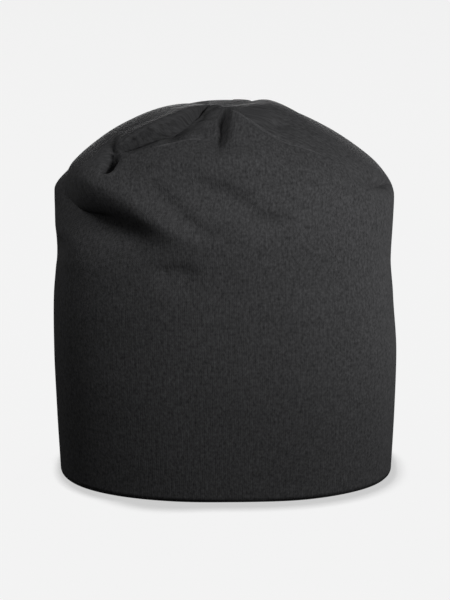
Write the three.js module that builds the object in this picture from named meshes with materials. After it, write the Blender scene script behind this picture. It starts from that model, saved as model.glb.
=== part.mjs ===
// A jersey beanie: one soft cap of doubled black jersey, folded at the hem and closed by four darts that meet
// in a gathered point on top. It stands filled out on its hem, with the crown slumped over the left side: one
// deep fold runs in under it there, and a slack roll of cloth beside the point laps over the front.
//
// Millimetres, +Z up. The forehead side faces -Y, and +X is on the viewer's right. The origin is the middle of
// the opening, on the surface that the hem stands on.

import * as THREE from 'three';

// Driving sizes
const HEIGHT = 234; // from the hem to the highest level, before the folds raise it
const BODY_WIDTH = 213; // side to side at the widest level
const BODY_DEPTH = 150; // front to back at the deepest level
const WALL = 2.4; // two layers of jersey
const FOLD_DEPTH = 12; // the deepest fold
const FOLD_REACH = 20; // how far the widest fold spreads to each side of its line

// The hem is a plain fold, so its foot is flat in the middle and rounds over on both sides.
const HEM_EDGE = 0.3 * WALL;

// How finely the cloth is divided. The columns are closest at the front left, where most folds are, and the
// rows are closest on the crown.
const COLUMNS = 76;
const ROWS = 37;
const CLOSEST_TURN = -35; // degrees from the front, as in FOLDS
const COLUMN_CROWDING = 0.35;
const ROW_CROWDING = 0.45;
const LAST_CLIMB = 0.978; // the last row under the point
const FOLD_STEPS = 24; // pieces that a fold's line is divided into

// Levels of the cap, from the hem to the point. climb is the share of the cloth's way up, rise a share of
// HEIGHT, width and aside (to the right) are shares of BODY_WIDTH, depth and ahead (to the front) are shares
// of BODY_DEPTH, and square is the exponent of the level's outline, where 2 is an ellipse.
const LEVELS = [
  { climb: 0.0, rise: 0.0, width: 0.977, aside: 0.002, depth: 0.94, ahead: 0.0, square: 2.4 },
  { climb: 0.14, rise: 0.177, width: 0.992, aside: 0.002, depth: 0.975, ahead: 0.0, square: 2.4 },
  { climb: 0.26, rise: 0.33, width: 1.0, aside: 0.001, depth: 1.0, ahead: 0.0, square: 2.4 },
  { climb: 0.38, rise: 0.485, width: 0.986, aside: -0.004, depth: 1.0, ahead: 0.0, square: 2.4 },
  { climb: 0.46, rise: 0.585, width: 0.968, aside: -0.004, depth: 0.985, ahead: 0.0, square: 2.4 },
  { climb: 0.54, rise: 0.68, width: 0.978, aside: -0.006, depth: 0.98, ahead: 0.0, square: 2.4 },
  { climb: 0.6, rise: 0.75, width: 0.984, aside: -0.007, depth: 0.955, ahead: 0.0, square: 2.35 },
  { climb: 0.65, rise: 0.808, width: 0.905, aside: 0.0, depth: 0.9, ahead: 0.0, square: 2.3 },
  { climb: 0.71, rise: 0.867, width: 0.78, aside: -0.006, depth: 0.79, ahead: 0.01, square: 2.2 },
  { climb: 0.79, rise: 0.93, width: 0.585, aside: -0.01, depth: 0.6, ahead: 0.02, square: 2.1 },
  { climb: 0.87, rise: 0.976, width: 0.365, aside: -0.006, depth: 0.38, ahead: 0.04, square: 2.0 },
  { climb: 0.94, rise: 0.993, width: 0.17, aside: 0.002, depth: 0.18, ahead: 0.075, square: 2.0 },
  { climb: 1.0, rise: 0.99, width: 0.0, aside: 0.008, depth: 0.0, ahead: 0.105, square: 2.0 },
];

// Folds, each along a line that starts at from, bends towards by and ends at to. A place is a turn, in degrees
// from the front towards the right, and a climb. deep is a share of FOLD_DEPTH, where less than 0 is a raised
// roll. left and right are shares of FOLD_REACH: how far the fold spreads on each side of someone who walks
// along it. grow and fade are the shares of the line over which it deepens and dies away.
const FOLDS = [
  // The deep fold under the slumped left side, the full side above it, and the nick under the bulge.
  { from: [-98, 0.62], by: [-54, 0.61], to: [-12, 0.48], deep: 1.1, left: 0.5, right: 0.9, grow: 0.4, fade: 0.45 },
  { from: [-98, 0.68], by: [-50, 0.69], to: [-6, 0.53], deep: -0.5, left: 0.7, right: 0.5, grow: 0.4, fade: 0.5 },
  { from: [-88, 0.49], by: [-76, 0.475], to: [-62, 0.51], deep: 0.2, left: 0.4, right: 0.4, grow: 0.5, fade: 0.5 },
  // The slack roll beside the point, with the crease that it laps over and the crease that branches off.
  { from: [-56, 0.965], by: [-34, 0.81], to: [-60, 0.74], deep: 0.5, left: 0.5, right: 0.2, grow: 0.2, fade: 0.1 },
  { from: [-57, 0.755], by: [-60, 0.715], to: [-52, 0.68], deep: 0.5, left: 0.35, right: 0.25, grow: 0.3, fade: 0.4 },
  { from: [-74, 0.78], by: [-66, 0.74], to: [-58, 0.7], deep: 0.3, left: 0.25, right: 0.25, grow: 0.4, fade: 0.2 },
  { from: [-75, 0.965], by: [-50, 0.84], to: [-68, 0.76], deep: -0.3, left: 0.3, right: 0.5, grow: 0.2, fade: 0.2 },
  // The pinch under the point, with the lip on its right.
  { from: [-8, 0.94], by: [4, 0.87], to: [0, 0.78], deep: 0.45, left: 0.16, right: 0.5, grow: 0.2, fade: 0.6 },
  { from: [8, 0.95], by: [14, 0.89], to: [12, 0.84], deep: -0.15, left: 0.25, right: 0.15, grow: 0.3, fade: 0.5 },
  // The four darts.
  { from: [14, 0.95], by: [36, 0.84], to: [58, 0.73], deep: 0.12, left: 0.15, right: 0.15, grow: 0.1, fade: 0.4 },
  { from: [-14, 0.84], by: [-26, 0.79], to: [-50, 0.75], deep: -0.08, left: 0.3, right: 0.15, grow: 0.1, fade: 0.4 },
  { from: [130, 0.95], by: [130, 0.84], to: [124, 0.72], deep: 0.15, left: 0.25, right: 0.25, grow: 0.1, fade: 0.4 },
  { from: [-130, 0.95], by: [-130, 0.84], to: [-124, 0.72], deep: 0.15, left: 0.25, right: 0.25, grow: 0.1, fade: 0.4 },
  // The full cloth behind the point.
  { from: [-150, 0.9], by: [178, 0.92], to: [110, 0.89], deep: -0.25, left: 0.8, right: 0.8, grow: 0.4, fade: 0.4 },
  // The dents in the right shoulder and in the crown behind the right dart.
  { from: [66, 0.68], by: [74, 0.65], to: [86, 0.63], deep: 0.3, left: 0.3, right: 0.3, grow: 0.4, fade: 0.3 },
  { from: [46, 0.84], by: [58, 0.83], to: [72, 0.84], deep: 0.18, left: 0.3, right: 0.3, grow: 0.4, fade: 0.4 },
  // Soft hollows across the front.
  { from: [-26, 0.71], by: [0, 0.68], to: [20, 0.58], deep: 0.2, left: 0.5, right: 0.6, grow: 0.4, fade: 0.4 },
  { from: [8, 0.61], by: [22, 0.58], to: [28, 0.51], deep: 0.15, left: 0.4, right: 0.4, grow: 0.4, fade: 0.4 },
  { from: [-32, 0.465], by: [-20, 0.485], to: [-10, 0.5], deep: 0.15, left: 0.3, right: 0.35, grow: 0.4, fade: 0.4 },
  // Soft folds that the slumped crown makes at the back.
  { from: [-100, 0.6], by: [-136, 0.62], to: [-160, 0.52], deep: 0.45, left: 0.8, right: 0.5, grow: 0.4, fade: 0.5 },
  { from: [96, 0.56], by: [132, 0.6], to: [168, 0.53], deep: 0.25, left: 0.6, right: 0.8, grow: 0.4, fade: 0.5 },
];

const RADIANS = Math.PI / 180;
const last = LEVELS.length - 1;

// A column of LEVELS at any climb, on a smooth curve through its rows that never swings past them.
function levelValue(column, climb) {
  const slope = (row) => {
    const rise = LEVELS[row + 1][column] - LEVELS[row][column];
    return rise / (LEVELS[row + 1].climb - LEVELS[row].climb);
  };
  const slopeAt = (row) => {
    if (row === 0) return slope(0);
    if (row === last) return slope(last - 1);
    const before = slope(row - 1);
    const after = slope(row);
    return before * after <= 0 ? 0 : (2 * before * after) / (before + after);
  };
  let row = 0;
  while (row < last - 1 && LEVELS[row + 1].climb < climb) row += 1;
  const length = LEVELS[row + 1].climb - LEVELS[row].climb;
  const part = (climb - LEVELS[row].climb) / length;
  const square = part ** 2;
  const cube = part ** 3;
  return (
    LEVELS[row][column] * (2 * cube - 3 * square + 1) +
    LEVELS[row + 1][column] * (3 * square - 2 * cube) +
    slopeAt(row) * length * (cube - 2 * square + part) +
    slopeAt(row + 1) * length * (cube - square)
  );
}

// The middle of a level.
function middlePoint(climb) {
  return new THREE.Vector3(
    levelValue('aside', climb) * BODY_WIDTH,
    -levelValue('ahead', climb) * BODY_DEPTH,
    levelValue('rise', climb) * HEIGHT,
  );
}

// A point of the cap as it would be with no folds. turn is in radians.
function smoothPoint(turn, climb) {
  const square = levelValue('square', climb);
  const halfWidth = (levelValue('width', climb) * BODY_WIDTH) / 2;
  const halfDepth = (levelValue('depth', climb) * BODY_DEPTH) / 2;
  const across = Math.sin(turn);
  const forward = Math.cos(turn);
  const sum = Math.abs(across / halfWidth) ** square + Math.abs(forward / halfDepth) ** square;
  const reach = sum ** (-1 / square);
  return middlePoint(climb).add(new THREE.Vector3(reach * across, -reach * forward, 0));
}

// The way out of a surface at a place, measured between four points a little to each side of it.
const SIDESTEP = 0.004;
function wayOut(surface, turn, climb) {
  const low = Math.max(climb - SIDESTEP, 0);
  const high = Math.min(climb + SIDESTEP, LAST_CLIMB + SIDESTEP);
  const around = surface(turn + SIDESTEP, climb).sub(surface(turn - SIDESTEP, climb));
  const up = surface(turn, high).sub(surface(turn, low));
  return around.cross(up).normalize();
}

// A fold's line over the smooth cap, as points with the way along it and the share of the fold's depth there.
function foldLine(fold) {
  const places = [];
  for (let step = 0; step <= FOLD_STEPS; step += 1) {
    const share = step / FOLD_STEPS;
    const bend = (axis) =>
      (1 - share) ** 2 * fold.from[axis] + 2 * share * (1 - share) * fold.by[axis] + share ** 2 * fold.to[axis];
    const grown = Math.min(share / fold.grow, (1 - share) / fold.fade, 1);
    places.push({
      point: smoothPoint(bend(0) * RADIANS, Math.min(bend(1), LAST_CLIMB)),
      strength: grown * grown * (3 - 2 * grown),
    });
  }
  return places;
}

const foldLines = FOLDS.map(foldLine);

// How far all the folds together press the cloth in at a point of the smooth cap.
function foldDepth(point, out) {
  let pressed = 0;
  FOLDS.forEach((fold, number) => {
    const line = foldLines[number];
    let best = { gap: Infinity };
    for (let step = 0; step < FOLD_STEPS; step += 1) {
      const start = line[step].point;
      const along = line[step + 1].point.clone().sub(start);
      const away = point.clone().sub(start);
      const share = THREE.MathUtils.clamp(away.dot(along) / along.lengthSq(), 0, 1);
      const rest = away.addScaledVector(along, -share);
      if (rest.length() >= best.gap) continue;
      const strength = THREE.MathUtils.lerp(line[step].strength, line[step + 1].strength, share);
      best = { gap: rest.length(), onLeft: rest.dot(out.clone().cross(along)) > 0, strength };
    }
    const reach = (best.onLeft ? fold.left : fold.right) * FOLD_REACH;
    pressed += fold.deep * FOLD_DEPTH * best.strength * Math.exp(-((best.gap / reach) ** 2));
  });
  return pressed;
}

// A point of the cap's outer face.
function outerPoint(turn, climb) {
  const point = smoothPoint(turn, climb);
  const out = wayOut(smoothPoint, turn, climb);
  return point.addScaledVector(out, -foldDepth(point, out));
}

// A point of the inner face, one wall in from the outer one.
function innerPoint(turn, climb) {
  return outerPoint(turn, climb).addScaledVector(wayOut(outerPoint, turn, climb), -WALL);
}

function turnOf(column) {
  const even = (column / COLUMNS) * 2 * Math.PI;
  return even - COLUMN_CROWDING * Math.sin(even - CLOSEST_TURN * RADIANS);
}

function climbOf(row) {
  const even = row / ROWS;
  return LAST_CLIMB * (even + (ROW_CROWDING / Math.PI) * Math.sin(Math.PI * even));
}

// The closed surface: up the outside, over the point, down the inside and round the hem.
const positions = [];
const faces = [];
const addPoint = (point) => {
  positions.push(point.x, point.y, point.z);
  return positions.length / 3 - 1;
};
const addRing = (place) => Array.from({ length: COLUMNS }, (_, column) => addPoint(place(turnOf(column))));
const joinRings = (lower, upper) => {
  for (let column = 0; column < COLUMNS; column += 1) {
    const next = (column + 1) % COLUMNS;
    faces.push(lower[column], lower[next], upper[next]);
    faces.push(lower[column], upper[next], upper[column]);
  }
};
const closeRing = (ring, tip, outwards) => {
  for (let column = 0; column < COLUMNS; column += 1) {
    const next = (column + 1) % COLUMNS;
    if (outwards) faces.push(ring[column], ring[next], tip);
    else faces.push(ring[next], ring[column], tip);
  }
};

// A point of the hem, a way in from the outer face and a height above the surface that it stands on.
function hemPoint(turn, inset, height) {
  const out = wayOut(outerPoint, turn, 0).setZ(0).normalize();
  return outerPoint(turn, 0).addScaledVector(out, -inset).setZ(height);
}

const rows = Array.from({ length: ROWS }, (_, row) => climbOf(row + 1));
const rings = [
  addRing((turn) => hemPoint(turn, WALL, HEM_EDGE)),
  addRing((turn) => hemPoint(turn, WALL - HEM_EDGE, 0)),
  addRing((turn) => hemPoint(turn, HEM_EDGE, 0)),
  addRing((turn) => hemPoint(turn, 0, HEM_EDGE)),
  ...rows.map((climb) => addRing((turn) => outerPoint(turn, climb))),
];
for (let ring = 0; ring < rings.length - 1; ring += 1) joinRings(rings[ring], rings[ring + 1]);
const innerRings = rows.map((climb) => addRing((turn) => innerPoint(turn, climb)));
joinRings(innerRings[0], rings[0]);
for (let ring = 0; ring < innerRings.length - 1; ring += 1) joinRings(innerRings[ring + 1], innerRings[ring]);

const outerTip = middlePoint(1);
closeRing(rings[rings.length - 1], addPoint(outerTip), true);
closeRing(innerRings[ROWS - 1], addPoint(outerTip.clone().setZ(outerTip.z - WALL)), false);

const geometry = new THREE.BufferGeometry();
geometry.setAttribute('position', new THREE.Float32BufferAttribute(positions, 3));
geometry.setIndex(faces);
geometry.computeVertexNormals();

const blackJersey = new THREE.MeshStandardMaterial({ color: 0x363637, roughness: 0.95, metalness: 0 });

const jerseyShell = new THREE.Mesh(geometry, blackJersey);
jerseyShell.name = 'jersey_shell';

const beanie = new THREE.Group();
beanie.add(jerseyShell);

export default beanie;
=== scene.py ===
"""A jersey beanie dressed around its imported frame, for Blender 4.5.

The cap is one sheet of doubled black jersey. Its skin follows the same levels and main folds as the CAD
solid, with the finer creases, the dart seams and the uneven lie of the cloth added. Metres, +Z up, the
forehead side faces -Y and +X is on the viewer's right, as in the frame.
"""

import logging
import math
from dataclasses import dataclass
from enum import Enum
from functools import reduce
from typing import Callable, Iterable, NamedTuple, Optional, Sequence

import bpy
import numpy as np
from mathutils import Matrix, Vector, noise


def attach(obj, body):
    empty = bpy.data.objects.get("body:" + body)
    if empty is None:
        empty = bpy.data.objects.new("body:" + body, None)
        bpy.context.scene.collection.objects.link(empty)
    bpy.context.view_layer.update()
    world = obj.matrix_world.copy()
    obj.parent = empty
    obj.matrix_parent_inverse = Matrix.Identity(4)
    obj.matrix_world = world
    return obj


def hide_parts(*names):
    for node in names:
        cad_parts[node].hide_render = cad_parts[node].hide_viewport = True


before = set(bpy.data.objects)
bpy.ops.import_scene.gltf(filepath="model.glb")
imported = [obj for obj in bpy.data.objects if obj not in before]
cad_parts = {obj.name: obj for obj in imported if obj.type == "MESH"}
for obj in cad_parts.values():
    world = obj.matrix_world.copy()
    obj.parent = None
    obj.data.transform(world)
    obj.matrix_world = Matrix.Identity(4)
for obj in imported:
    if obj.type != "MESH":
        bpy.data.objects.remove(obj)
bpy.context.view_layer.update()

SHELL_NODE = "jersey_shell"
BODY = "root"
MM = 0.001

Array = np.ndarray
log = logging.getLogger("beanie")


class Panel(Enum):
    """The four panels that the darts part on the crown, each with the turn of its middle in degrees."""

    FRONT = 0.0
    RIGHT = 90.0
    BACK = 180.0
    LEFT = -90.0


class Place(NamedTuple):
    """A place on the cap: a turn in degrees from the front towards the right, and a climb from 0 to 1."""

    turn: float
    climb: float


@dataclass(frozen=True)
class Level:
    """One level of the cap, as shares of its sizes, with the exponent of its outline (2 is an ellipse)."""

    climb: float
    rise: float
    width: float
    aside: float
    depth: float
    ahead: float
    square: float


@dataclass(frozen=True)
class Fold:
    """A fold along a line that starts at one place, bends towards another and ends at a third.

    deep is in millimetres, and less than 0 for a raised roll. left and right are how far it spreads on each
    side of someone who walks along it, in millimetres. grow and fade are the shares of the line over which it
    deepens and dies away. lean is how far its left lip laps over it, in millimetres, and less than 0 for the
    right lip. again is a second place that the line bends towards, for a line that curves two ways.
    """

    start: Place
    bend: Place
    end: Place
    deep: float
    left: float
    right: float
    grow: float
    fade: float
    lean: float = 0.0
    again: Optional[Place] = None


LEVELS: tuple[Level, ...] = (
    Level(0.0, 0.0, 0.977, 0.002, 0.94, 0.0, 2.4),
    Level(0.14, 0.177, 0.992, 0.002, 0.975, 0.0, 2.4),
    Level(0.26, 0.33, 1.0, 0.001, 1.0, 0.0, 2.4),
    Level(0.38, 0.485, 0.986, -0.004, 1.0, 0.0, 2.4),
    Level(0.46, 0.585, 0.968, -0.004, 0.985, 0.0, 2.4),
    Level(0.54, 0.68, 0.978, -0.006, 0.98, 0.0, 2.4),
    Level(0.6, 0.75, 0.984, -0.007, 0.955, 0.0, 2.35),
    Level(0.65, 0.808, 0.905, 0.0, 0.9, 0.0, 2.3),
    Level(0.71, 0.867, 0.78, -0.006, 0.79, 0.01, 2.2),
    Level(0.79, 0.93, 0.585, -0.01, 0.6, 0.02, 2.1),
    Level(0.87, 0.976, 0.365, -0.006, 0.38, 0.04, 2.0),
    Level(0.94, 0.993, 0.17, 0.002, 0.18, 0.075, 2.0),
    Level(1.0, 0.99, 0.0, 0.008, 0.0, 0.105, 2.0),
)


def fold(
    start: Sequence[float],
    bend: Sequence[float],
    end: Sequence[float],
    deep: float,
    left: float,
    right: float,
    grow: float = 0.4,
    fade: float = 0.4,
    lean: float = 0.0,
    again: Optional[Sequence[float]] = None,
) -> Fold:
    """A Fold from plain pairs of turn and climb.

    Args:
        start, bend, end: The line's three places.
        deep: Millimetres in, or out where it is less than 0.
        left, right: Reach on each side, in millimetres.
        grow, fade: Shares of the line at its two ends.
        lean: Millimetres that a lip laps over it.
        again: The place of a second bend.

    Returns:
        The fold.
    """
    second = Place(*again) if again else None
    return Fold(Place(*start), Place(*bend), Place(*end), deep, left, right, grow, fade, lean, second)


def along_bends(guides: Sequence[Place], share: Array) -> Array:
    """Places along a smooth line that is drawn towards each guide in turn.

    Args:
        guides: The start, the bends and the end.
        share: Shares of the line, from 0 to 1.

    Returns:
        A row of turn and climb for each share.
    """
    rows = [np.tile(guide, (len(share), 1)) for guide in guides]
    part = share[:, None]
    while len(rows) > 1:
        rows = [near * (1 - part) + far * part for near, far in zip(rows, rows[1:])]
    return rows[0]


# The main folds. The CAD solid has them too, softer and without their smallest dents.
MAIN_FOLDS: tuple[Fold, ...] = (
    # The deep fold under the slumped left side, the full side above it, and the nick under the bulge.
    fold((-99, 0.61), (-58, 0.625), (-22, 0.53), 15, 9, 19, 0.3, 0.5),
    fold((-100, 0.675), (-50, 0.69), (-6, 0.53), -7, 14, 10, 0.4, 0.5),
    fold((-94, 0.48), (-80, 0.5), (-66, 0.505), 3.6, 6, 7, 0.2, 0.5),
    # The slack roll beside the point, with the crease that it laps over and the crease that branches off.
    fold((-127, 0.97), (25, 0.945), (-61, 0.724), 6.2, 8.5, 1.4, 0.3, 0.25, again=(-88, 0.782)),
    fold((-63, 0.742), (-61, 0.71), (-57, 0.674), 6, 4.5, 3, 0.4, 0.3),
    fold((-76, 0.78), (-66, 0.741), (-63, 0.705), 2.4, 3, 3, 0.4, 0.2),
    fold((-127, 0.972), (25, 0.947), (-61, 0.726), -4, 1.4, 9, 0.5, 0.35, again=(-88, 0.784)),
    # The pinch under the point, the hollow on its left and the lip on its right.
    fold((-16, 0.962), (9, 0.86), (-10, 0.735), 7.5, 5.5, 10, 0.2, 0.4),
    fold((-34, 0.9), (-20, 0.86), (-12, 0.79), 4.4, 8, 6, 0.3, 0.3),
    fold((8, 0.95), (14, 0.89), (12, 0.84), -1.8, 5, 3, 0.3, 0.5),
    # The four darts.
    fold((11, 0.93), (40, 0.848), (58, 0.735), 1.8, 8, 1.6, 0.1, 0.4),
    fold((-10, 0.824), (-29, 0.806), (-46, 0.767), -0.8, 3, 3, 0.2, 0.4),
    fold((130, 0.95), (130, 0.84), (124, 0.72), 1.8, 5, 5, 0.1, 0.4),
    fold((-130, 0.95), (-130, 0.84), (-124, 0.72), 1.8, 5, 5, 0.1, 0.4),
    # The full cloth round the point.
    fold((-150, 0.9), (178, 0.92), (110, 0.89), -3, 16, 16),
    # The dents in the right shoulder and in the crown behind the right dart.
    fold((64, 0.7), (66, 0.672), (88, 0.624), 5, 5, 6, 0.6, 0.3),
    fold((68, 0.672), (76, 0.65), (88, 0.63), 3, 2.4, 2.6, 0.5, 0.3, 1.6),
    fold((46, 0.84), (58, 0.83), (72, 0.84), 2.2, 6, 6),
    # Soft hollows across the front.
    fold((-30, 0.7), (8, 0.666), (15, 0.61), 4.4, 6, 10),
    fold((6, 0.635), (18, 0.602), (32, 0.585), 3, 6, 9),
    fold((-34, 0.468), (-22, 0.508), (-8, 0.476), 3.2, 4, 9),
    # Soft folds of the slumped crown at the back.
    fold((-100, 0.6), (-136, 0.62), (-160, 0.52), 5.4, 16, 10, 0.4, 0.5),
    fold((96, 0.56), (132, 0.6), (168, 0.53), 3, 12, 16, 0.4, 0.5),
)

# The creases that are too fine for the CAD solid.
FINE_FOLDS: tuple[Fold, ...] = (
    # The drawn roll above the deep fold and the groove on its upper side.
    fold((-55, 0.672), (-35, 0.613), (6, 0.505), -1.8, 5, 6),
    fold((-38, 0.674), (-30, 0.65), (1, 0.54), 2.8, 4.5, 7),
    # The hollow above the left dart.
    fold((-48, 0.79), (-30, 0.815), (-13, 0.85), 5.0, 11, 4, 0.3, 0.4),
    # The full cloth below the crown's creases.
    fold((-50, 0.684), (-32, 0.752), (8, 0.735), -3.2, 6, 13, 0.4, 0.3),
    fold((-8, 0.73), (12, 0.758), (42, 0.748), -2.4, 6, 10, 0.3, 0.5),
    # The core of the deep fold, under the side that hangs over it.
    fold((-96, 0.628), (-56, 0.612), (-20, 0.51), 2.4, 5, 8, 0.2, 0.45),
    # The edge of the roll where it laps over the front, sharp on the roll's side.
    fold((-127, 0.97), (25, 0.94), (-61, 0.72), 3.4, 1.3, 1.8, 0.2, 0.2, -2.4, again=(-88, 0.775)),
    fold((-63, 0.735), (-61, 0.705), (-57, 0.676), 4, 3, 2.6, 0.2, 0.3, -1.5),
    fold((-76, 0.78), (-66, 0.741), (-63, 0.705), 2.4, 1.4, 1.4, 0.4, 0.2, -1),
    # The mouth of the pinch.
    fold((-14, 0.957), (9, 0.86), (-8, 0.75), 3.4, 2.8, 2, 0.2, 0.5),
    # The lip of cloth that stands up behind the point.
    fold((-60, 0.965), (-105, 0.98), (-150, 0.98), -1.2, 4, 4),
    # The hollow under the right dart's seam and small dimples beside it.
    fold((24, 0.87), (42, 0.833), (56, 0.74), 1.8, 1.4, 4, 0.4, 0.4),
    fold((40, 0.85), (50, 0.84), (64, 0.838), 1.8, 2.5, 3),
    fold((43, 0.785), (47, 0.78), (51, 0.775), 0.8, 2, 2),
)


@dataclass(frozen=True)
class CapForm:
    """The form of the standing cap: a smooth cap of stacked levels, pressed in and raised along its folds.

    last_climb is where the rows end, short of the point. side_step, in radians and in climb, is the step
    over which a way out is measured. A fold moves cloth up to fold_ends times its wider reach away. Its
    lip laps over most at lip_place times its reach from the line, over a width of lip_spread.
    """

    height: float = 234 * MM
    body_width: float = 213 * MM
    body_depth: float = 150 * MM
    wall: float = 2.4 * MM
    last_climb: float = 0.992
    side_step: float = 0.004
    line_steps: int = 32
    fold_ends: float = 3.0
    lip_place: float = 1.4
    lip_spread: float = 1.1
    unevenness: float = 0.55 * MM
    uneven_waves: tuple[float, float, float] = (24.0, 24.0, 15.0)
    levels: tuple[Level, ...] = LEVELS
    folds: tuple[Fold, ...] = MAIN_FOLDS + FINE_FOLDS

    def level_value(self, name: str, climb: Array) -> Array:
        """A column of the levels at any climb, on a smooth curve that never swings past its rows.

        Args:
            name: The column's name.
            climb: The climbs.

        Returns:
            The column's values there.
        """
        at = np.array([level.climb for level in self.levels])
        value = np.array([getattr(level, name) for level in self.levels])
        slope = np.diff(value) / np.diff(at)
        before, after = slope[:-1], slope[1:]
        with np.errstate(divide="ignore", invalid="ignore"):
            middle = np.where(before * after > 0, 2 * before * after / (before + after), 0.0)
        slopes = np.concatenate([slope[:1], middle, slope[-1:]])
        row = np.clip(np.searchsorted(at, climb, side="left") - 1, 0, len(at) - 2)
        length = at[row + 1] - at[row]
        part = (climb - at[row]) / length
        square, cube = part**2, part**3
        return (
            value[row] * (2 * cube - 3 * square + 1)
            + value[row + 1] * (3 * square - 2 * cube)
            + slopes[row] * length * (cube - 2 * square + part)
            + slopes[row + 1] * length * (cube - square)
        )

    def smooth(self, turn: Array, climb: Array) -> Array:
        """Points of the cap as it would be with no folds.

        Args:
            turn, climb: The places, with the turns in radians.

        Returns:
            An array of points, one row each.
        """
        square = self.level_value("square", climb)
        half_width = self.level_value("width", climb) * self.body_width / 2
        half_depth = self.level_value("depth", climb) * self.body_depth / 2
        across, forward = np.sin(turn), np.cos(turn)
        total = np.abs(across / half_width) ** square + np.abs(forward / half_depth) ** square
        reach = total ** (-1 / square)
        return np.stack(
            [
                self.level_value("aside", climb) * self.body_width + reach * across,
                -self.level_value("ahead", climb) * self.body_depth - reach * forward,
                self.level_value("rise", climb) * self.height,
            ],
            axis=-1,
        )

    def way_out(self, surface: Callable[[Array, Array], Array], turn: Array, climb: Array) -> Array:
        """The way out of a surface at given places.

        Args:
            surface: Gives points for turns and climbs.
            turn, climb: The places, with the turns in radians.

        Returns:
            Unit vectors, one row each.
        """
        step = self.side_step
        low = np.maximum(climb - step, 0)
        high = np.minimum(climb + step, self.last_climb + step)
        around = surface(turn + step, climb) - surface(turn - step, climb)
        up = surface(turn, high) - surface(turn, low)
        out = np.cross(around, up)
        return out / np.linalg.norm(out, axis=-1, keepdims=True)

    def fold_line(self, line: Fold) -> tuple[Array, Array]:
        """A fold's line over the smooth cap.

        Args:
            line: The fold.

        Returns:
            The line's points, and the share of the fold's depth at each.
        """
        share = np.linspace(0, 1, self.line_steps + 1)
        bends = [line.bend] if line.again is None else [line.bend, line.again]
        turn, climb = along_bends([line.start, *bends, line.end], share).T
        grown = np.minimum(np.minimum(share / line.grow, (1 - share) / line.fade), 1)
        points = self.smooth(np.radians(turn), np.minimum(climb, self.last_climb))
        return points, grown * grown * (3 - 2 * grown)

    def fold_shift(self, line: Fold, points: Array, out: Array) -> Array:
        """How far one fold moves the cloth.

        Args:
            line: The fold.
            points: Points of the smooth cap.
            out: The way out at each.

        Returns:
            Shifts in metres, one row for each point.
        """
        places, strength = self.fold_line(line)
        reach = self.fold_ends * max(line.left, line.right) * MM
        shift = np.zeros_like(points)
        past_low = np.all(points > places.min(axis=0) - reach, axis=1)
        short_of_high = np.all(points < places.max(axis=0) + reach, axis=1)
        near = np.nonzero(past_low & short_of_high)[0]
        if not len(near):
            return shift
        spot, normal = points[near], out[near]
        gap = np.full(len(near), np.inf)
        aside = np.zeros_like(spot)
        left = np.zeros(len(near), bool)
        power = np.zeros(len(near))
        for step in range(len(places) - 1):
            along = places[step + 1] - places[step]
            away = spot - places[step]
            share = np.clip(away @ along / (along @ along), 0, 1)
            rest = away - share[:, None] * along
            length = np.linalg.norm(rest, axis=1)
            closer = length < gap
            across = np.cross(normal, along) / np.linalg.norm(along)
            gap = np.where(closer, length, gap)
            aside = np.where(closer[:, None], across, aside)
            left = np.where(closer, np.einsum("ij,ij->i", rest, across) > 0, left)
            power = np.where(closer, strength[step] * (1 - share) + strength[step + 1] * share, power)
        width = np.where(left, line.left, line.right) * MM
        pressed = line.deep * MM * power * np.exp(-((gap / width) ** 2))
        shift[near] = -normal * pressed[:, None]
        if line.lean:
            lip = (line.left if line.lean > 0 else line.right) * MM
            from_lip = np.where(left == (line.lean > 0), gap, -gap) / lip - self.lip_place
            lapped = line.lean * MM * power * np.exp(-((from_lip / self.lip_spread) ** 2))
            shift[near] -= aside * lapped[:, None]
        return shift

    def uneven(self, points: Array) -> Array:
        """The slight unevenness of slack cloth, as a distance out at each point of the smooth cap."""
        waves = Vector(self.uneven_waves)
        return np.array([noise.noise(Vector(point) * waves) for point in points]) * self.unevenness

    def outer(self, turn: Array, climb: Array) -> Array:
        """Points of the cap's outer face.

        Args:
            turn, climb: The places, with the turns in radians.

        Returns:
            Points, one row each.
        """
        points = self.smooth(turn, climb)
        out = self.way_out(self.smooth, turn, climb)
        shift = sum(self.fold_shift(line, points, out) for line in self.folds)
        return points + out * self.uneven(points)[:, None] + shift

    def tip(self) -> Array:
        """The gathered point on top."""
        top = self.levels[-1]
        return np.array([top.aside * self.body_width, -top.ahead * self.body_depth, top.rise * self.height])


def spread(count: int, low: float, high: float, density: Callable[[Array], Array]) -> Array:
    """Values between two ends, closer together where a density is higher.

    Args:
        count: How many values, with low among them and high left out.
        low, high: The two ends.
        density: Gives the density for an array of values.

    Returns:
        The values in rising order.
    """
    fine = np.linspace(low, high, 4001)
    weight = density(fine)
    total = np.concatenate([[0], np.cumsum((weight[1:] + weight[:-1]) / 2)])
    return np.interp(np.arange(count) / count * total[-1], total, fine)


def ease(value: Array, low: float, high: float) -> Array:
    """0 up to low and 1 from high, with a smooth rise between."""
    share = np.clip((value - low) / (high - low), 0, 1)
    return share * share * (3 - 2 * share)


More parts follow.
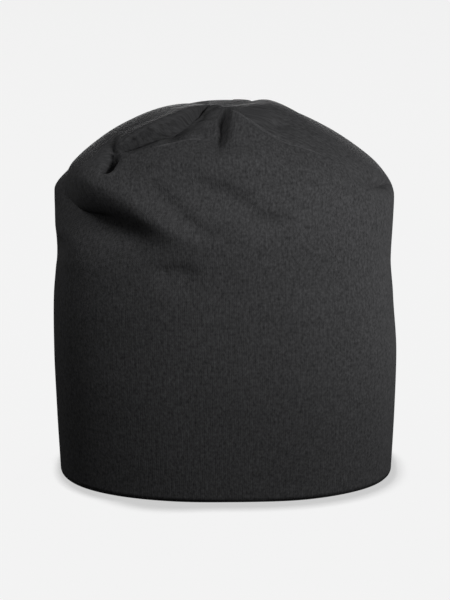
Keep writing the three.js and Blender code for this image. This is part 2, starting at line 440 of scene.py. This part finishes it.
class NodeBoard:
    """A material's node tree, with short ways to add nodes."""

    def __init__(self, name: str) -> None:
        """Starts an empty material with a shader and an output.

        Args:
            name: The material's name.
        """
        self.material = bpy.data.materials.new(name)
        self.material.use_nodes = True
        self.tree = self.material.node_tree
        self.tree.nodes.clear()
        self.shader = self.tree.nodes.new("ShaderNodeBsdfPrincipled")
        output = self.tree.nodes.new("ShaderNodeOutputMaterial")
        self.link(self.shader.outputs[0], output.inputs["Surface"])

    def link(self, start: bpy.types.NodeSocket, end: bpy.types.NodeSocket) -> None:
        """Joins an output to an input."""
        self.tree.links.new(start, end)

    def put(self, socket: bpy.types.NodeSocket, value: object) -> None:
        """Sets an input.

        Args:
            socket: The input.
            value: A number, or an output of another node, which is joined to it.
        """
        if isinstance(value, bpy.types.NodeSocket):
            self.link(value, socket)
        else:
            socket.default_value = value

    def dress(self, values: dict[str, object]) -> None:
        """Sets inputs of the shader by their names."""
        for name, value in values.items():
            self.put(self.shader.inputs[name], value)

    def math(self, operation: str, first: object, second: object = 0.0) -> bpy.types.NodeSocket:
        """A Math node.

        Args:
            operation: The node's operation, such as "ADD".
            first, second: Numbers or outputs of other nodes.

        Returns:
            The node's output.
        """
        node = self.tree.nodes.new("ShaderNodeMath")
        node.operation = operation
        self.put(node.inputs[0], first)
        self.put(node.inputs[1], second)
        return node.outputs[0]

    def cloth_place(self, uv_name: str) -> tuple[bpy.types.NodeSocket, bpy.types.NodeSocket]:
        """The place on the flat cloth.

        Args:
            uv_name: The UV map that holds it.

        Returns:
            Metres across the wales, and metres up them.
        """
        node = self.tree.nodes.new("ShaderNodeUVMap")
        node.uv_map = uv_name
        split = self.tree.nodes.new("ShaderNodeSeparateXYZ")
        self.link(node.outputs[0], split.inputs[0])
        return split.outputs[0], split.outputs[1]

    def vector(self, first: object, second: object, third: object = 0.0) -> bpy.types.NodeSocket:
        """A vector.

        Args:
            first, second, third: Numbers or outputs of other nodes.

        Returns:
            The vector's output.
        """
        node = self.tree.nodes.new("ShaderNodeCombineXYZ")
        for socket, value in zip(node.inputs, (first, second, third)):
            self.put(socket, value)
        return node.outputs[0]

    def noise(self, place: bpy.types.NodeSocket, scale: float, detail: float = 2.0) -> bpy.types.NodeSocket:
        """Noise at a place, from 0 to 1.

        Args:
            place: The vector it reads.
            scale: Waves for each unit of the vector.
            detail: Octaves.

        Returns:
            The node's value.
        """
        node = self.tree.nodes.new("ShaderNodeTexNoise")
        self.put(node.inputs["Vector"], place)
        node.inputs["Scale"].default_value = scale
        node.inputs["Detail"].default_value = detail
        return node.outputs[0]

    def object_place(self) -> bpy.types.NodeSocket:
        """Object coordinates."""
        return self.tree.nodes.new("ShaderNodeTexCoord").outputs["Object"]

    def about_zero(self, value: bpy.types.NodeSocket, most: float) -> bpy.types.NodeSocket:
        """A value from 0 to 1, made one from -most to most."""
        return self.math("MULTIPLY", self.math("SUBTRACT", value, 0.5), 2 * most)

    def total(self, values: Sequence[object]) -> object:
        """The sum of numbers and outputs of other nodes."""
        return reduce(lambda first, second: self.math("ADD", first, second), values)

    def shaded(self, colour: Sequence[float], shade: bpy.types.NodeSocket) -> bpy.types.NodeSocket:
        """A colour that a shade makes lighter or darker.

        Args:
            colour: Its red, green and blue.
            shade: What each is multiplied by.

        Returns:
            The colour's output.
        """
        node = self.tree.nodes.new("ShaderNodeCombineColor")
        for socket, share in zip(node.inputs, colour):
            self.put(socket, self.math("MULTIPLY", shade, share))
        return node.outputs[0]

    def bump(
        self, height: bpy.types.NodeSocket, depth: float, under: Optional[bpy.types.NodeSocket] = None
    ) -> bpy.types.NodeSocket:
        """A Bump node.

        Args:
            height: Heights from 0 to 1.
            depth: Metres from 0 to 1.
            under: The normal of the bump below this one, if there is one.

        Returns:
            The new normal.
        """
        node = self.tree.nodes.new("ShaderNodeBump")
        node.inputs["Distance"].default_value = depth
        self.put(node.inputs["Height"], height)
        if under is not None:
            self.put(node.inputs["Normal"], under)
        return node.outputs[0]


@dataclass(frozen=True)
class Grain:
    """Noise over the flat cloth: waves for each metre across and up it, its detail, and how much it tones."""

    across: float
    up: float
    detail: float
    tone: float

    def over(self, board: NodeBoard, place: Sequence[bpy.types.NodeSocket]) -> bpy.types.NodeSocket:
        """The noise at a place on the flat cloth, from 0 to 1."""
        waves = board.vector(*(board.math("MULTIPLY", *pair) for pair in zip(place, (self.across, self.up))))
        return board.noise(waves, 1.0, self.detail)


@dataclass(frozen=True)
class JerseyKnit:
    """Washed black jersey: fine upright wales of small stitches, in a slightly uneven charcoal.

    drift sends the wales up to drift_wales aside. stitch_slant is how far the legs of a stitch slant, in
    courses. slub is thicker yarn here and there, fleck the heather, patch and cloud the uneven dye.
    wale_painted_shade is painted shade: the cloth darker in the grooves between the wales, lighter on their
    ridges.
    """

    name: str = "black_jersey"
    uv_name: str = "cloth"
    colour: tuple[float, float, float] = (0.043, 0.043, 0.0445)
    wale: float = 1.25 * MM
    course: float = 0.95 * MM
    wale_depth: float = 0.05 * MM
    stitch_depth: float = 0.07 * MM
    stitch_slant: float = 1.2
    drift: Grain = Grain(40.0, 40.0, 2.0, 0.0)
    drift_wales: float = 1.5
    slub: Grain = Grain(600.0, 150.0, 3.0, 0.42)
    slub_depth: float = 0.3 * MM
    fleck: Grain = Grain(760.0, 520.0, 4.0, 0.9)
    patch: Grain = Grain(260.0, 210.0, 2.0, 0.27)
    cloud_waves: float = 38.0
    cloud_tone: float = 0.1
    # Painted shade: how much darker the grooves between the wales are painted than their ridges.
    wale_painted_shade: float = 0.03
    roughness: float = 0.93
    specular: float = 0.12
    sheen: float = 0.04
    sheen_roughness: float = 0.55
    sheen_tint: tuple[float, float, float, float] = (0.6, 0.6, 0.62, 1.0)

    def material(self) -> bpy.types.Material:
        """Builds the material.

        Returns:
            The material, which reads the cloth's UV map.
        """
        board = NodeBoard(self.name)
        place = board.cloth_place(self.uv_name)
        across, up = place
        drift = board.math("MULTIPLY", self.drift.over(board, place), self.drift_wales)
        place_in_wale = board.math("ADD", board.math("DIVIDE", across, self.wale), drift)
        rib = board.math("COSINE", board.math("MULTIPLY", place_in_wale, 2 * math.pi))
        leg = board.math("ABSOLUTE", board.math("SUBTRACT", board.math("FRACT", place_in_wale), 0.5))
        slant = board.math("MULTIPLY", leg, self.stitch_slant)
        place_in_course = board.math("ADD", board.math("DIVIDE", up, self.course), slant)
        loop = board.math("COSINE", board.math("MULTIPLY", place_in_course, 2 * math.pi))
        slub = self.slub.over(board, place)
        tones = [
            board.about_zero(slub, self.slub.tone),
            board.about_zero(self.fleck.over(board, place), self.fleck.tone),
            board.about_zero(self.patch.over(board, place), self.patch.tone),
            board.about_zero(board.noise(board.object_place(), self.cloud_waves, 3.0), self.cloud_tone),
            # Painted shade: darker in the grooves between the wales and lighter on their ridges, in step with
            # the wale bump.
            board.math("MULTIPLY", rib, self.wale_painted_shade),
        ]
        normal = board.bump(slub, self.slub_depth)
        normal = board.bump(board.math("MULTIPLY", rib, 0.5), self.wale_depth, normal)
        normal = board.bump(board.math("MULTIPLY", loop, 0.5), self.stitch_depth, normal)
        board.dress(
            {
                "Base Color": board.shaded(self.colour, board.total([*tones, 1.0])),
                "Normal": normal,
                "Roughness": self.roughness,
                "Specular IOR Level": self.specular,
                "Sheen Weight": self.sheen,
                "Sheen Roughness": self.sheen_roughness,
                "Sheen Tint": self.sheen_tint,
            }
        )
        return board.material


@dataclass(frozen=True)
class PalePaper:
    """The even pale ground of a product picture."""

    name: str = "pale_paper"
    colour: tuple[float, float, float] = (0.4, 0.4, 0.4)
    grain_waves: float = 900.0
    grain_tone: float = 0.005
    roughness: float = 0.9
    glow_colour: tuple[float, float, float, float] = (1.0, 1.0, 1.0, 1.0)
    glow: float = 0.58

    def material(self) -> bpy.types.Material:
        """Builds the material.

        Returns:
            The material.
        """
        board = NodeBoard(self.name)
        grain = board.noise(board.object_place(), self.grain_waves)
        shade = board.total([board.about_zero(grain, self.grain_tone), 1.0])
        board.dress(
            {
                "Base Color": board.shaded(self.colour, shade),
                "Roughness": self.roughness,
                "Specular IOR Level": 0.0,
                "Emission Color": self.glow_colour,
                "Emission Strength": self.glow,
            }
        )
        return board.material


class SheetMesh:
    """A mesh in the making: its points, its faces, and the flat place of each corner of each face."""

    def __init__(self) -> None:
        """Starts an empty mesh."""
        self.points: list[tuple[float, ...]] = []
        self.faces: list[tuple[int, ...]] = []
        self.corners: list[tuple[float, ...]] = []

    def add_points(self, block: Array) -> int:
        """Adds points.

        Args:
            block: An array of any shape whose last axis is three long.

        Returns:
            The number of the first of them.
        """
        first = len(self.points)
        self.points.extend(tuple(point) for point in block.reshape(-1, 3))
        return first

    def add_face(self, face: Iterable[int], places: Iterable[Sequence[float]]) -> None:
        """Adds a face by its points' numbers, with the flat place of each."""
        self.faces.append(tuple(face))
        self.corners.extend(tuple(place) for place in places)

    def finish(self, name: str, uv_name: str) -> bpy.types.Object:
        """Makes it an object at the origin, smooth shaded, in the scene.

        Args:
            name: The object's name.
            uv_name: The name of the UV map that holds the flat places.

        Returns:
            The object.
        """
        mesh = bpy.data.meshes.new(name)
        mesh.from_pydata(self.points, [], self.faces)
        mesh.shade_smooth()
        layer = mesh.uv_layers.new(name=uv_name)
        layer.data.foreach_set("uv", np.array(self.corners, np.float32).ravel())
        mesh.validate()
        obj = bpy.data.objects.new(name, mesh)
        bpy.context.scene.collection.objects.link(obj)
        return obj


@dataclass(frozen=True)
class FlatCloth:
    """Where each place of the cap lies on its flat panels, so that the wales run straight up each of them.

    The panels meet at the darts. front_darts and back_darts are the darts' turns in degrees at dart_climbs.
    """

    form: CapForm
    dart_climbs: tuple[float, ...] = (0.62, 0.73, 0.84, 0.95)
    front_darts: tuple[float, ...] = (76.0, 58.0, 36.0, 20.0)
    back_darts: tuple[float, ...] = (108.0, 124.0, 130.0, 132.0)

    def rings(self, turns: Array, climbs: Array) -> tuple[Array, Array, Array]:
        """Lengths over the smooth cap.

        Args:
            turns, climbs: The columns' turns, in radians, and the rows' climbs.

        Returns:
            For each row and column, the way round from the first column. Each row's whole way round. For each
            row and column, the way up from the hem.
        """
        grid_turn, grid_climb = np.meshgrid(turns, climbs)
        shape = grid_turn.shape
        points = self.form.smooth(grid_turn.ravel(), grid_climb.ravel()).reshape(*shape, 3)
        closed = np.concatenate([points, points[:, :1]], axis=1)
        steps = np.linalg.norm(np.diff(closed, axis=1), axis=2)
        way = np.concatenate([np.zeros((shape[0], 1)), np.cumsum(steps, axis=1)], axis=1)
        rise = np.linalg.norm(np.diff(points, axis=0), axis=2)
        up = np.concatenate([np.zeros((1, shape[1])), np.cumsum(rise, axis=0)], axis=0)
        return way[:, :-1], way[:, -1], up

    def panel(self, turn: float, climb: float) -> Panel:
        """The panel that a place is on.

        Args:
            turn: The turn in radians.
            climb: The climb.

        Returns:
            The panel.
        """
        degrees = (math.degrees(turn) + 180) % 360 - 180
        if abs(degrees) < np.interp(climb, self.dart_climbs, self.front_darts):
            return Panel.FRONT
        if abs(degrees) > np.interp(climb, self.dart_climbs, self.back_darts):
            return Panel.BACK
        return Panel.RIGHT if degrees > 0 else Panel.LEFT

    def places(self, turns: Array, climbs: Array) -> dict[Panel, Array]:
        """Flat places of every row and column, as each panel would have them.

        Args:
            turns, climbs: The columns' turns, in radians, and the rows' climbs.

        Returns:
            For each panel, an array of rows by columns by 2, in metres.
        """
        way, whole, up = self.rings(turns, climbs)
        hem = whole[0]
        foot = np.searchsorted(climbs, self.dart_climbs[0])
        stretch = hem / whole[np.minimum(np.arange(len(climbs)), foot)]
        closed_turns = np.append(turns, turns[0] + 2 * math.pi)
        found = {}
        for panel in Panel:
            turn = math.radians(panel.value % 360)
            rows = [np.append(row, total) for row, total in zip(way, whole)]
            middle = np.array([np.interp(turn, closed_turns, row) for row in rows])
            aside = (way - middle[:, None] + whole[:, None] / 2) % whole[:, None] - whole[:, None] / 2
            across = aside * stretch[:, None] + hem * (panel.value / 360)
            found[panel] = np.stack([across, up], axis=-1)
        return found


@dataclass(frozen=True)
class JerseyShell:
    """The cap itself: both faces of the doubled cloth and the plain fold of its hem.

    The columns stand closest round dense_turn, in radians, and the rows above dense_climbs. The first row
    is first_row of the hem's radius up. The inner face has every second column, and stays behind the cloth
    up to inner_window rows and columns away. foot_press above 1 gives the hem a flat foot. hem_place is
    the flat cloth that each ring of the hem takes.
    """

    form: CapForm
    cloth: FlatCloth
    columns: int = 400
    rows: int = 208
    dense_turn: float = -0.35
    dense_reach: float = 1.3
    dense_columns: float = 0.55
    dense_climbs: tuple[float, float] = (0.58, 0.68)
    dense_rows: float = 1.6
    first_row: float = 0.8
    inner_rows: int = 60
    inner_window: int = 4
    hem_steps: int = 6
    foot_press: float = 1.06
    hem_place: float = 0.7 * MM
    join_place: float = 4 * MM

    def column_density(self, turn: Array) -> Array:
        """How close the columns stand at a turn, where 1 is furthest apart."""
        aside = (turn - self.dense_turn + np.pi) % (2 * np.pi) - np.pi
        return 1 + self.dense_columns * np.exp(-((aside / self.dense_reach) ** 2))

    def row_density(self, climb: Array) -> Array:
        """How close the rows stand at a climb, where 1 is furthest apart."""
        return 1 + self.dense_rows * ease(climb, *self.dense_climbs)

    def turns(self) -> Array:
        """The columns' turns in radians."""
        return spread(self.columns, 0, 2 * math.pi, self.column_density)

    def climbs(self) -> Array:
        """The rows' climbs from the hem's edge."""
        first = self.form.wall / 2 / self.form.height * self.first_row
        return spread(self.rows, first, self.form.last_climb, self.row_density)

    def outer_grid(self, turns: Array, climbs: Array) -> Array:
        """Points of the outer face, as rows by columns by 3."""
        grid_turn, grid_climb = np.meshgrid(turns, climbs)
        return self.form.outer(grid_turn.ravel(), grid_climb.ravel()).reshape(*grid_turn.shape, 3)

    def inner_grid(self, outer: Array, turns: Array, climbs: Array) -> Array:
        """The inner face: a wall behind the deepest cloth near each point, so that no fold cuts through it.

        Args:
            outer: The outer face's grid of points.
            turns, climbs: Those of its columns and rows.

        Returns:
            The inner face's points on the same grid.
        """
        grid_turn, grid_climb = (values.ravel() for values in np.meshgrid(turns, climbs))
        smooth = self.form.smooth(grid_turn, grid_climb)
        out = self.form.way_out(self.form.smooth, grid_turn, grid_climb)
        height = np.sum((outer.reshape(-1, 3) - smooth) * out, axis=1).reshape(outer.shape[:2])
        steps = range(-self.inner_window, self.inner_window + 1)
        lowest = np.min([np.roll(height, step, axis=1) for step in steps], axis=0)
        tall = np.pad(lowest, ((self.inner_window, self.inner_window), (0, 0)), mode="edge")
        lowest = np.min([tall[self.inner_window + step :][: len(climbs)] for step in steps], axis=0)
        inner = smooth + out * (lowest.reshape(-1, 1) - self.form.wall)
        return inner.reshape(outer.shape)

    def hem_rings(self, turns: Array) -> list[Array]:
        """Rings round the fold of the hem.

        Args:
            turns: The columns' turns.

        Returns:
            The rings' points, from the inner face, under the cloth, to the outer face.
        """
        hem = np.zeros(len(turns))
        foot = self.form.outer(turns, hem)
        out = self.form.way_out(self.form.smooth, turns, hem)
        out[:, 2] = 0
        out /= np.linalg.norm(out, axis=1, keepdims=True)
        radius = self.form.wall / 2
        rings = []
        for step in range(self.hem_steps + 1):
            angle = math.pi * step / self.hem_steps
            ring = foot - out * radius * (1 + math.cos(angle))
            ring[:, 2] = radius * max(0.0, 1 - math.sin(angle) * self.foot_press)
            rings.append(ring)
        return rings

    def add_grid(
        self,
        sheet: SheetMesh,
        grid: Array,
        turns: Array,
        climbs: Array,
        places: dict[Panel, Array],
        outwards: bool,
    ) -> int:
        """Adds one face of the cloth.

        Args:
            sheet: The mesh in the making.
            grid: The face's points.
            turns, climbs: Those of its columns and rows.
            places: The flat places of its points on each panel.
            outwards: Whether it looks out of the cap.

        Returns:
            The number of its first point.
        """
        first = sheet.add_points(grid)
        count = len(turns)
        for row, climb in enumerate((climbs[:-1] + climbs[1:]) / 2):
            for column, turn in enumerate(turns):
                after = (column + 1) % count
                ring = [(row, column), (row, after), (row + 1, after), (row + 1, column)]
                if not outwards:
                    ring.reverse()
                table = places[self.cloth.panel(turn, climb)]
                sheet.add_face([first + r * count + c for r, c in ring], [table[corner] for corner in ring])
        return first

    def add_hem(self, sheet: SheetMesh, turns: Array, outer_first: int, inner_first: int) -> None:
        """Joins the two faces round the fold of the hem.

        Args:
            sheet: The mesh in the making.
            turns: The columns' turns.
            outer_first, inner_first: The numbers of the faces' first points.
        """
        way, whole, _ = self.cloth.rings(turns, np.zeros(1))
        across = np.append(way[0], whole[0])
        firsts = [*(sheet.add_points(ring) for ring in self.hem_rings(turns)), outer_first]
        for number, (low, high) in enumerate(zip(firsts, firsts[1:])):
            bottom = -self.hem_place * (len(firsts) - 1 - number)
            top = bottom + self.hem_place
            for column in range(self.columns):
                after = (column + 1) % self.columns
                left, right = across[column], across[column + 1]
                places = [(left, bottom), (right, bottom), (right, top), (left, top)]
                sheet.add_face([low + column, low + after, high + after, high + column], places)
        count = self.columns // 2
        for column in range(count):
            near, after = inner_first + column, inner_first + (column + 1) % count
            first, middle, final = (firsts[0] + (2 * column + step) % self.columns for step in range(3))
            place = (across[2 * column], -self.join_place)
            for triangle in ((near, middle, first), (near, after, middle), (after, final, middle)):
                sheet.add_face(triangle, [place] * 3)

    def add_tip(self, sheet: SheetMesh, tip: Array, last: int, places: Array, outwards: bool) -> None:
        """Closes one face of the cloth at the gathered point.

        Args:
            sheet: The mesh in the making.
            tip: The face's gathered point.
            last: The number of its last row's first point.
            places: The flat places of that row.
            outwards: Whether it looks out of the cap.
        """
        top = sheet.add_points(tip)
        count = len(places)
        for column, place in enumerate(places):
            near, after = last + column, last + (column + 1) % count
            sheet.add_face((near, after, top) if outwards else (after, near, top), [place] * 3)

    def build(self, uv_name: str) -> bpy.types.Object:
        """Builds the closed sheet.

        Args:
            uv_name: The name of the UV map.

        Returns:
            The shell's object.
        """
        turns, climbs = self.turns(), self.climbs()
        outer = self.outer_grid(turns, climbs)
        outer_places = self.cloth.places(turns, climbs)
        kept = np.linspace(0, self.rows - 1, self.inner_rows).round().astype(int)
        inner = self.inner_grid(outer, turns, climbs)[kept, ::2]
        inner_turns, inner_climbs = turns[::2], climbs[kept]
        inner_places = self.cloth.places(inner_turns, inner_climbs)

        sheet = SheetMesh()
        outer_first = self.add_grid(sheet, outer, turns, climbs, outer_places, True)
        inner_first = self.add_grid(sheet, inner, inner_turns, inner_climbs, inner_places, False)
        self.add_hem(sheet, turns, outer_first, inner_first)
        tip = self.form.tip()
        outer_last = outer_first + (self.rows - 1) * len(turns)
        self.add_tip(sheet, tip, outer_last, outer_places[Panel.FRONT][-1], True)
        inner_last = inner_first + (self.inner_rows - 1) * len(inner_turns)
        inner_tip = tip - np.array([0, 0, self.form.wall])
        self.add_tip(sheet, inner_tip, inner_last, inner_places[Panel.FRONT][-1], False)
        return sheet.finish("jersey_cap", uv_name)


@dataclass(frozen=True)
class DartSeam:
    """One dart's seam line over the crown, with how far its two welts stand proud, in millimetres."""

    start: Place
    bend: Place
    end: Place
    proud: float


@dataclass(frozen=True)
class DartSeams:
    """The four dart seams: a pair of narrow welts with a groove between them, in one mesh.

    A seam sinks and narrows to end_width over the first start_taper and the last end_taper of its length.
    rough is how unevenly it stands proud, rough_step how fast that changes, and rough_apart keeps the
    seams unlike.
    """

    form: CapForm
    seams: tuple[DartSeam, ...] = (
        DartSeam(Place(11, 0.915), Place(40, 0.845), Place(58, 0.739), 0.9),
        DartSeam(Place(-10, 0.824), Place(-29, 0.806), Place(-46, 0.767), 0.6),
        DartSeam(Place(130, 0.95), Place(130, 0.84), Place(124, 0.73), 0.55),
        DartSeam(Place(-130, 0.95), Place(-130, 0.84), Place(-124, 0.73), 0.55),
    )
    half_width: float = 1.5 * MM
    buried: float = 0.8 * MM
    foot_width: float = 0.7
    step: float = 0.8 * MM
    side_place: float = 0.5 * MM
    start_taper: float = 0.06
    end_taper: float = 0.25
    end_width: float = 0.35
    rough: float = 0.35
    rough_step: float = 0.23
    rough_apart: float = 7.0

    def profile(self, proud: float) -> Array:
        """The seam's cross-section.

        Args:
            proud: How far it stands proud, in millimetres.

        Returns:
            Metres aside and metres out, for each corner of a closed loop.
        """
        half, foot = self.half_width, self.half_width * self.foot_width
        welt = [(-1.0, -0.35), (-0.72, 0.35), (-0.42, 0.95), (-0.16, 0.6), (0.0, 0.1)]
        top = welt + [(-aside, out) for aside, out in reversed(welt[:-1])]
        loop = [(aside * half, out * proud * MM) for aside, out in top]
        return np.array(loop + [(foot, -self.buried), (-foot, -self.buried)])

    def line(self, seam: DartSeam, share: Array) -> tuple[Array, Array]:
        """Turns in radians, and climbs, along a seam."""
        turn, climb = along_bends([seam.start, seam.bend, seam.end], share).T
        return np.radians(turn), climb

    def rings(self, seam: DartSeam, number: int) -> Array:
        """The cross-sections along one seam.

        Args:
            seam: The seam.
            number: Its number among the seams.

        Returns:
            Points, as cross-sections by corners by 3.
        """
        guide = self.form.smooth(*self.line(seam, np.linspace(0, 1, self.form.line_steps + 1)))
        length = np.linalg.norm(np.diff(guide, axis=0), axis=1).sum()
        share = np.linspace(0, 1, int(length / self.step))
        turn, climb = self.line(seam, share)
        spot = self.form.outer(turn, climb)
        out = self.form.way_out(self.form.outer, turn, climb)
        aside = np.cross(out, np.gradient(spot, axis=0))
        aside /= np.linalg.norm(aside, axis=1, keepdims=True)
        ends = np.minimum(np.minimum(share / self.start_taper, (1 - share) / self.end_taper), 1)
        places = [Vector((at * self.rough_step, number * self.rough_apart, 0.0)) for at in range(len(share))]
        lift = ends * (1 + self.rough * np.array([noise.noise(place) for place in places]))
        width = self.end_width + (1 - self.end_width) * ends
        sideways, height = self.profile(seam.proud).T
        height = np.where(height > 0, height * lift[:, None], height)
        sideways = sideways * width[:, None]
        return spot[:, None] + aside[:, None] * sideways[..., None] + out[:, None] * height[..., None]

    def build(self, uv_name: str) -> bpy.types.Object:
        """Builds the seams.

        Args:
            uv_name: The name of the UV map.

        Returns:
            The seams' object.
        """
        sheet = SheetMesh()
        for number, seam in enumerate(self.seams):
            rings = self.rings(seam, number)
            first = sheet.add_points(rings)
            count, size = rings.shape[:2]
            for at in range(count - 1):
                low, high = first + at * size, first + (at + 1) * size
                start, end = at * self.step, (at + 1) * self.step
                for side in range(size):
                    after = (side + 1) % size
                    left, right = side * self.side_place, (side + 1) * self.side_place
                    places = [(left, start), (left, end), (right, end), (right, start)]
                    sheet.add_face([low + side, high + side, high + after, low + after], places)
            last = first + (count - 1) * size
            sheet.add_face(range(first, first + size), [(0.0, 0.0)] * size)
            sheet.add_face(reversed(range(last, last + size)), [(0.0, 0.0)] * size)
        return sheet.finish("dart_seams", uv_name)


class LampUse(Enum):
    """What a lamp lights."""

    CAP = "cap"
    GROUND = "ground"


@dataclass(frozen=True)
class Lamp:
    """A soft square lamp that points at the cap, with its place and side in metres and its power in watts."""

    name: str
    place: tuple[float, float, float]
    side: float
    power: float
    use: LampUse = LampUse.CAP


@dataclass(frozen=True)
class Studio:
    """The plain pale ground, the soft lamps and the camera.

    The camera stands at distance from aim, rise degrees above the ground, and sees view_height from top to
    bottom there, in metres.
    """

    floor_side: float = 14.0
    lamps: tuple[Lamp, ...] = (
        Lamp("key", (0.295, -0.005, 0.152), 0.1, 0.235),
        Lamp("front", (0.204, -0.353, 0.326), 0.12, 1.3),
        Lamp("rim", (-0.317, -0.056, 0.483), 0.15, 0.46),
        Lamp("fill", (-0.3, -0.38, 0.42), 0.12, 0.12),
        Lamp("top", (-0.212, 0.367, 0.524), 0.15, 0.12),
        Lamp("back", (0.0, 0.985, 0.274), 0.4, 10.4),
        Lamp("overhead", (-0.15, 0.35, 8.0), 0.5, 474.0, LampUse.GROUND),
    )
    sky: float = 0.05
    distance: float = 1.6
    rise: float = 16.0
    aim: tuple[float, float, float] = (0.0, 0.0, 0.1075)
    view_height: float = 0.372
    sensor: float = 36.0

    def floor(self) -> bpy.types.Object:
        """Lays the ground, level with the hem.

        Returns:
            The ground.
        """
        bpy.ops.object.select_all(action="DESELECT")
        bpy.ops.mesh.primitive_grid_add(x_subdivisions=8, y_subdivisions=8, size=self.floor_side)
        ground = bpy.context.active_object
        ground.name = "ground"
        ground.data.materials.append(PalePaper().material())
        ground.visible_diffuse = False
        ground.visible_glossy = False
        return ground

    def lights(self, lit: dict[LampUse, Sequence[bpy.types.Object]]) -> None:
        """Hangs the lamps and sets the even light from all round.

        Args:
            lit: The objects that the lamps of each use light.
        """
        receivers = {use: bpy.data.collections.new("lit_" + use.value) for use in LampUse}
        for use, objects in lit.items():
            for obj in objects:
                receivers[use].objects.link(obj)
        for lamp in self.lamps:
            data = bpy.data.lights.new(lamp.name, "AREA")
            data.energy = lamp.power
            data.size = lamp.side
            holder = bpy.data.objects.new(lamp.name, data)
            holder.location = lamp.place
            away = Vector(lamp.place) - Vector(self.aim)
            holder.rotation_euler = away.to_track_quat("Z", "Y").to_euler()
            holder.visible_camera = False
            holder.light_linking.receiver_collection = receivers[lamp.use]
            bpy.context.scene.collection.objects.link(holder)
        world = bpy.data.worlds.new("studio")
        bpy.context.scene.world = world
        world.use_nodes = True
        background = world.node_tree.nodes["Background"]
        background.inputs["Color"].default_value = (1.0, 1.0, 1.0, 1.0)
        background.inputs["Strength"].default_value = self.sky
        bpy.context.scene.view_settings.view_transform = "Standard"

    def camera(self) -> bpy.types.Object:
        """Sets up the camera, at the photograph's angle.

        Returns:
            The camera.
        """
        data = bpy.data.cameras.new("camera")
        data.sensor_width = self.sensor
        data.lens = self.sensor * self.distance / self.view_height
        camera = bpy.data.objects.new("camera", data)
        bpy.context.scene.collection.objects.link(camera)
        rise = math.radians(self.rise)
        back = Vector((0.0, -math.cos(rise), math.sin(rise)))
        camera.location = Vector(self.aim) + back * self.distance
        camera.rotation_euler = back.to_track_quat("Z", "Y").to_euler()
        bpy.context.scene.camera = camera
        return camera


@dataclass(frozen=True)
class Beanie:
    """The whole cap: its shell and its dart seams, in one knit, with the seams' cloth a shade paler as a
    painted highlight on their welts.
    """

    form: CapForm = CapForm()
    knit: JerseyKnit = JerseyKnit()
    # Painted highlight: the seams' cloth is paler than the shell's to stand for the light that catches their
    # welts.
    painted_highlight_seam_knit: JerseyKnit = JerseyKnit(name="seam_jersey_painted_highlight", colour=(0.06, 0.06, 0.062))
    flat_width: float = 0.56
    flat_length: float = 0.28
    flat_area: float = 0.14

    def build(self) -> list[bpy.types.Object]:
        """Returns:
            The shell and the dart seams.
        """
        shell = JerseyShell(self.form, FlatCloth(self.form)).build(self.knit.uv_name)
        seams = DartSeams(self.form).build(self.knit.uv_name)
        for piece, knit in ((shell, self.knit), (seams, self.painted_highlight_seam_knit)):
            piece.data.materials.append(knit.material())
            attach(piece, BODY)
        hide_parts(SHELL_NODE)
        return [shell, seams]


def main() -> None:
    """Builds the studio and the cap."""
    logging.basicConfig(level=logging.INFO, format="%(name)s: %(message)s")
    studio = Studio()
    ground = studio.floor()
    studio.camera()
    pieces = Beanie().build()
    studio.lights({LampUse.CAP: pieces, LampUse.GROUND: [ground]})
    for piece in pieces:
        log.info("%s has %d faces", piece.name, len(piece.data.polygons))


if __name__ == "__main__":
    main()
